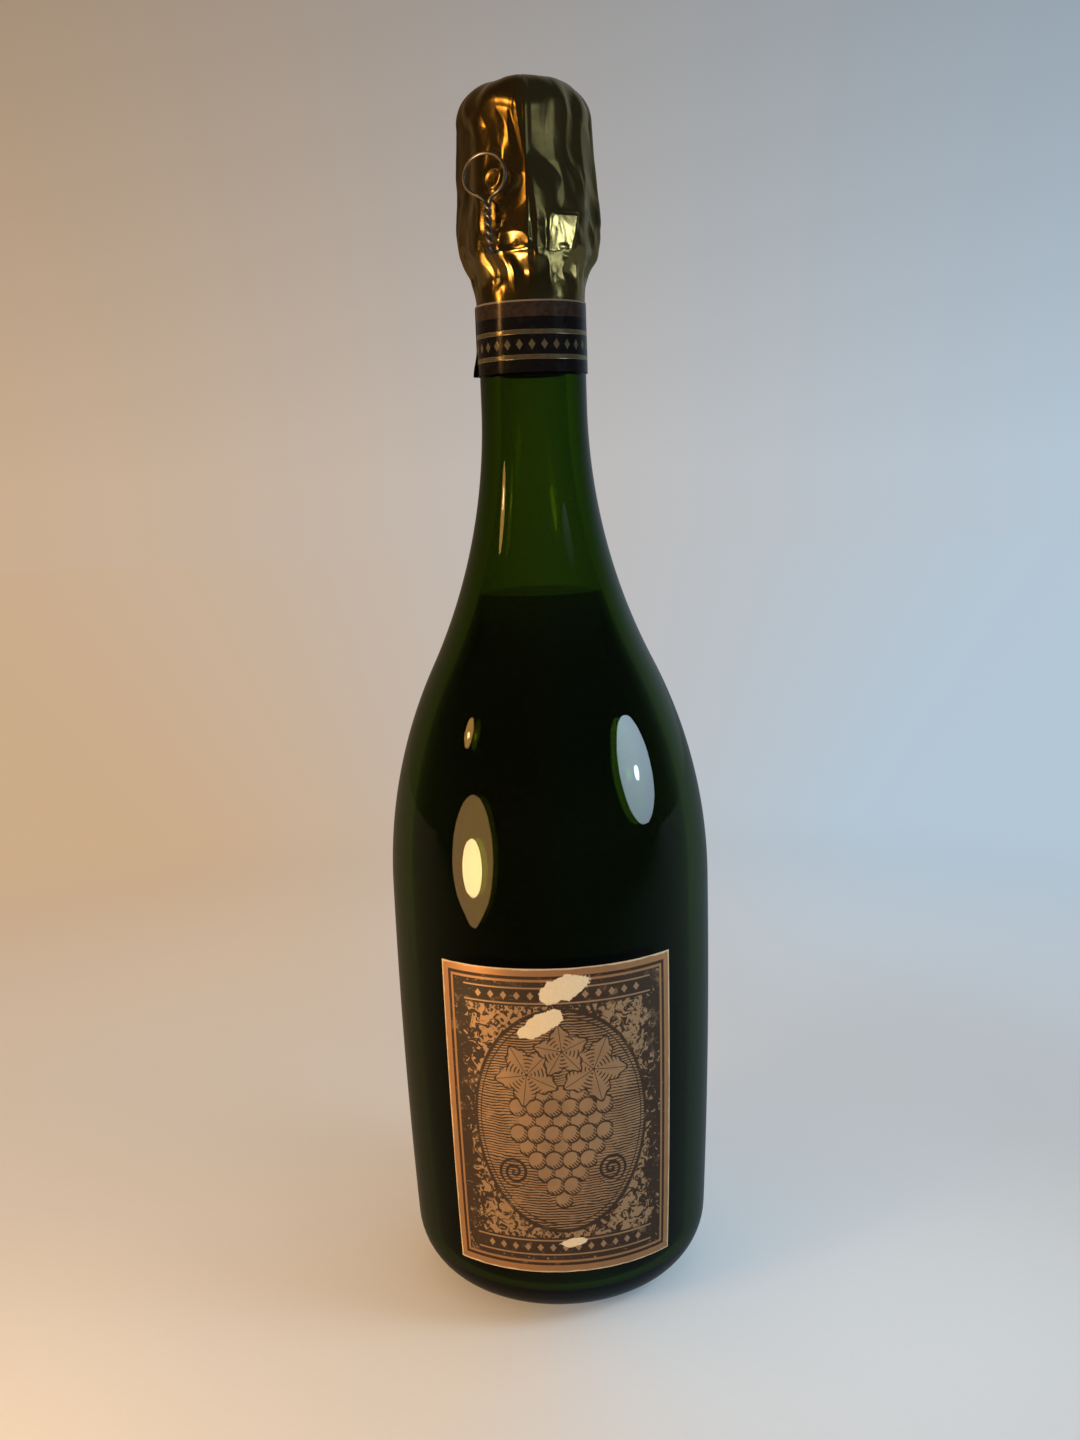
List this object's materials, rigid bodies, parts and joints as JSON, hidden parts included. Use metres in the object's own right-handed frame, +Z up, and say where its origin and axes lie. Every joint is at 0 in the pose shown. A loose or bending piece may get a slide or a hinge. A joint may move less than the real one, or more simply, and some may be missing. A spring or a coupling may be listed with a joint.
{
  "type": "champagne bottle",
  "caption": "Sealed dark green glass champagne bottle with a punt, cork stopper, twisted wire cage with a pull loop, gold foil hood, paper collar and front label.",
  "frame": {"origin": "on the bottle's axis, at the surface that its foot stands on", "axes": "+Z up the axis from the foot to the cork, -Y out of the middle of the front label, +X to its right"},
  "size_m": [0.09, 0.0902, 0.332],
  "materials": {
    "green_glass": "clear dark olive green bottle glass",
    "wine": "clear pale gold liquid",
    "label_paper": "copper-coloured metallic paper, worn",
    "collar_paper": "semi-gloss black paper with gold lines",
    "gold_foil": "thin crumpled gold foil, satin",
    "steel_wire": "drawn steel wire",
    "cap_tinplate": "gold lacquered tinplate",
    "agglomerated_cork": "pressed cork granules",
    "natural_cork": "natural cork with pores"
  },
  "bodies": {
    "bottle": {"glass_bottle": "green_glass", "wine": "wine", "front_label": "label_paper", "neck_collar": "collar_paper", "foil_skirt": "gold_foil"},
    "cork": {"cork_body": "agglomerated_cork", "cork_disc_upper": "natural_cork", "cork_disc_lower": "natural_cork"},
    "muselet": {"metal_cap": "cap_tinplate", "wire_cage": "steel_wire", "wire_belt": "steel_wire"},
    "loop": {"wire_loop": "steel_wire"},
    "foil": {"foil_hood": "gold_foil"}
  },
  "joints": [
    {"name": "cork_pull", "type": "slide", "parent": "bottle", "child": "cork", "axis": [0, 0, 1], "range_m": [0, 0.045]},
    {"name": "cage_lift", "type": "slide", "parent": "cork", "child": "muselet", "axis": [0, 0, 1], "range_m": [0, 0.05], "deforming": ["wire_cage", "wire_belt"]},
    {"name": "loop_fold", "type": "hinge", "parent": "muselet", "child": "loop", "pos_m": [-0.01002, -0.01736, 0.28879], "axis": [0.866, -0.5, 0], "range_deg": [0, 100]},
    {"name": "foil_lift", "type": "slide", "parent": "muselet", "child": "foil", "axis": [0, 0, 1], "range_m": [0, 0.05]}
  ]
}
